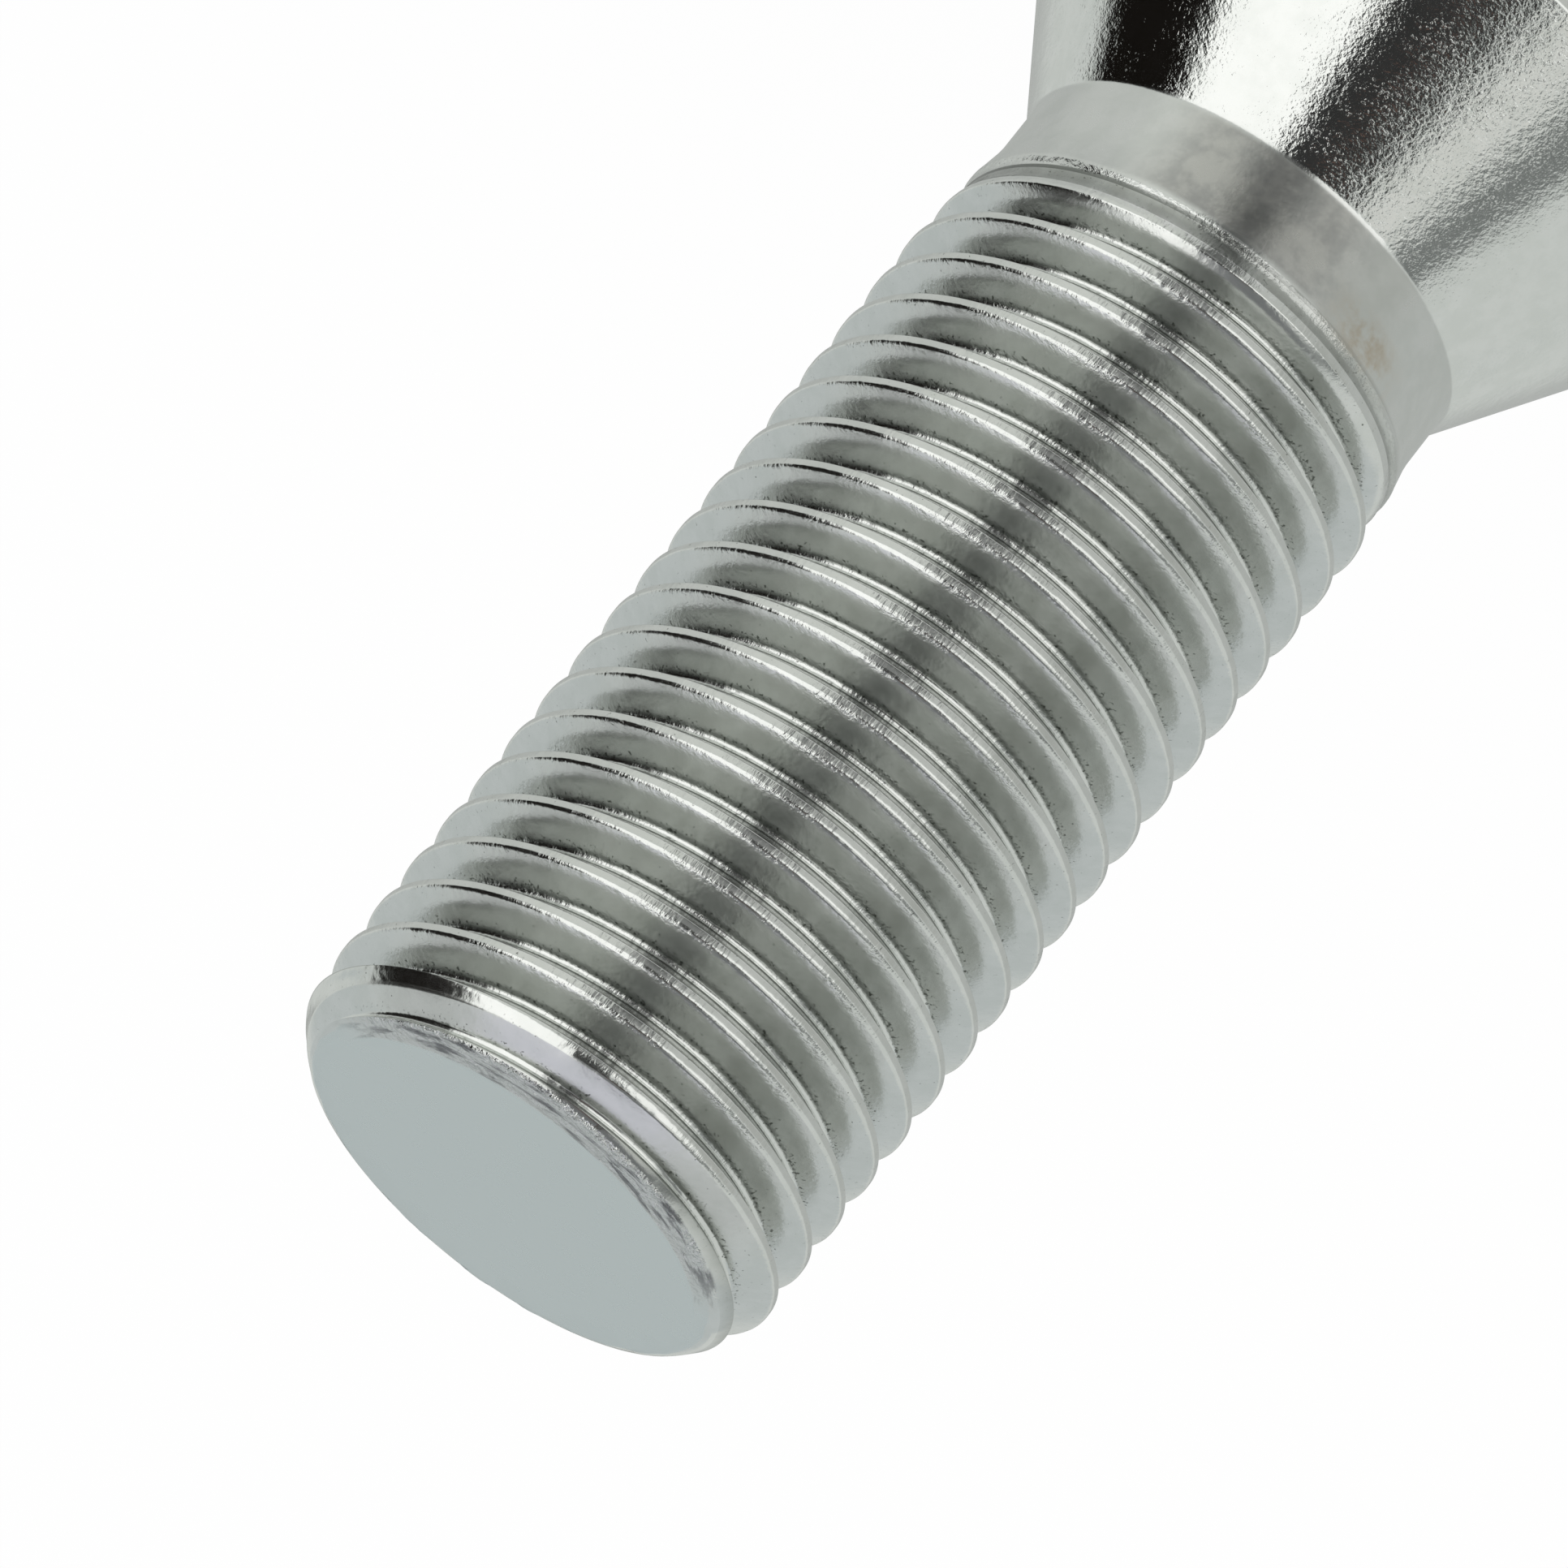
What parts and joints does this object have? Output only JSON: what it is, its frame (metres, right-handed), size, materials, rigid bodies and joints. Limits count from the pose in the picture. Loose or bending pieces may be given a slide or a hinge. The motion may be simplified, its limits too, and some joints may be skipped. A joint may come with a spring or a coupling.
{
  "type": "wheel bolt",
  "caption": "One-piece wheel bolt with a hexagon head, conical seat, plain collar and full-length rolled thread with a flat chamfered tip.",
  "frame": {"origin": "centre of the flat end of the hexagon head, on which the bolt stands", "axes": "+Z along the bolt from the head to the threaded tip; +X through a corner of the hexagon; +Y across its flats"},
  "size_m": [0.0196, 0.0174, 0.0486],
  "materials": {
    "plated_steel": "bright plated, smooth on the seat, duller on the thread flanks"
  },
  "bodies": {
    "root": {"wheel_bolt": "plated_steel"}
  },
  "joints": []
}
